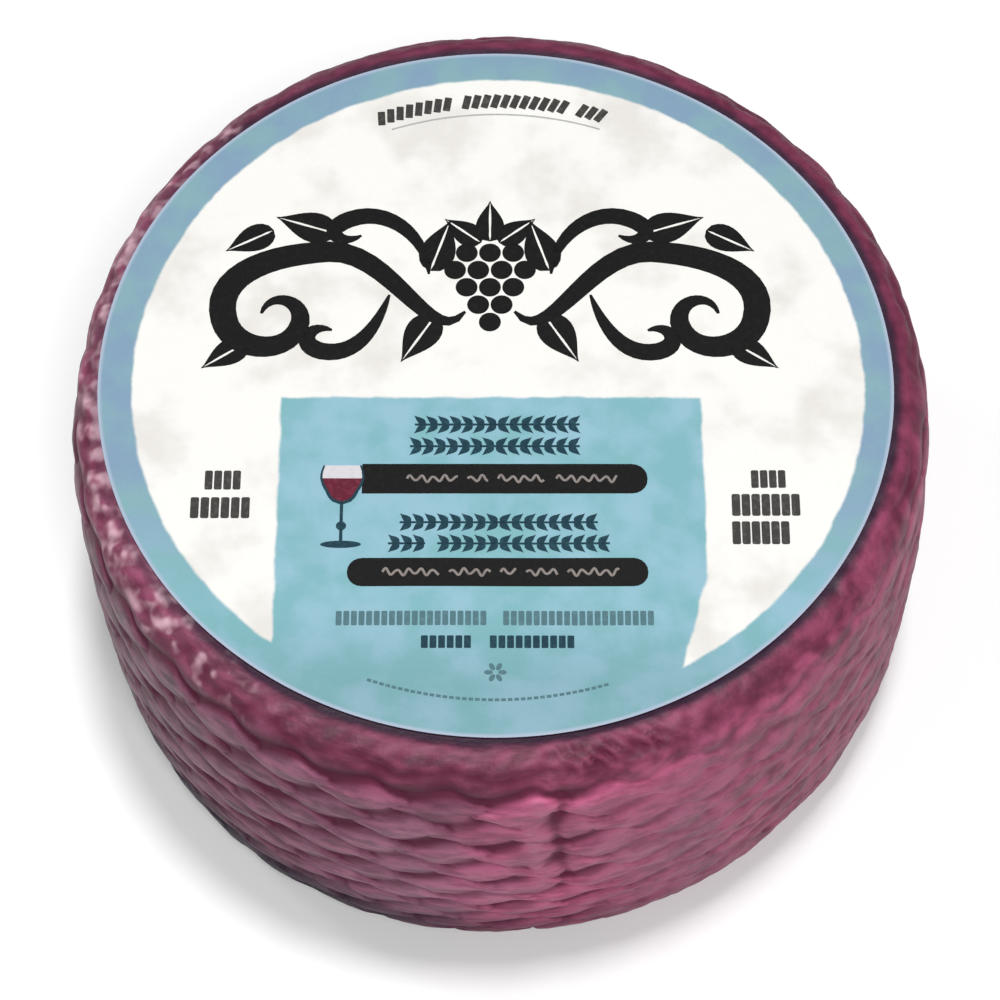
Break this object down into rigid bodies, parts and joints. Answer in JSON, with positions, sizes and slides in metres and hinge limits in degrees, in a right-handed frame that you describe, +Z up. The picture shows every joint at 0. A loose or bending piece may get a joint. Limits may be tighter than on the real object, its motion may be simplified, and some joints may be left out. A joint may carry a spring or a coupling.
{
  "type": "wine-washed goat cheese",
  "caption": "Whole round wheel of goat cheese with a wine-red, basket-printed rind and a round paper label on top; it stands flat and is cut into wedges to serve.",
  "frame": {"origin": "middle of the flat base, on the surface that the wheel stands on", "axes": "+Z up through the wheel, out of the label; -Y towards the reader of the label; +X to the reader's right"},
  "size_m": [0.1776, 0.1832, 0.084],
  "materials": {
    "wine_rind": "satin washed rind, mauve to wine red, darker in the grooves",
    "label_paper": "smooth coated paper with a pale blue ring and panel"
  },
  "bodies": {
    "root": {"cheese_wheel": "wine_rind", "paper_label": "label_paper"}
  },
  "joints": []
}
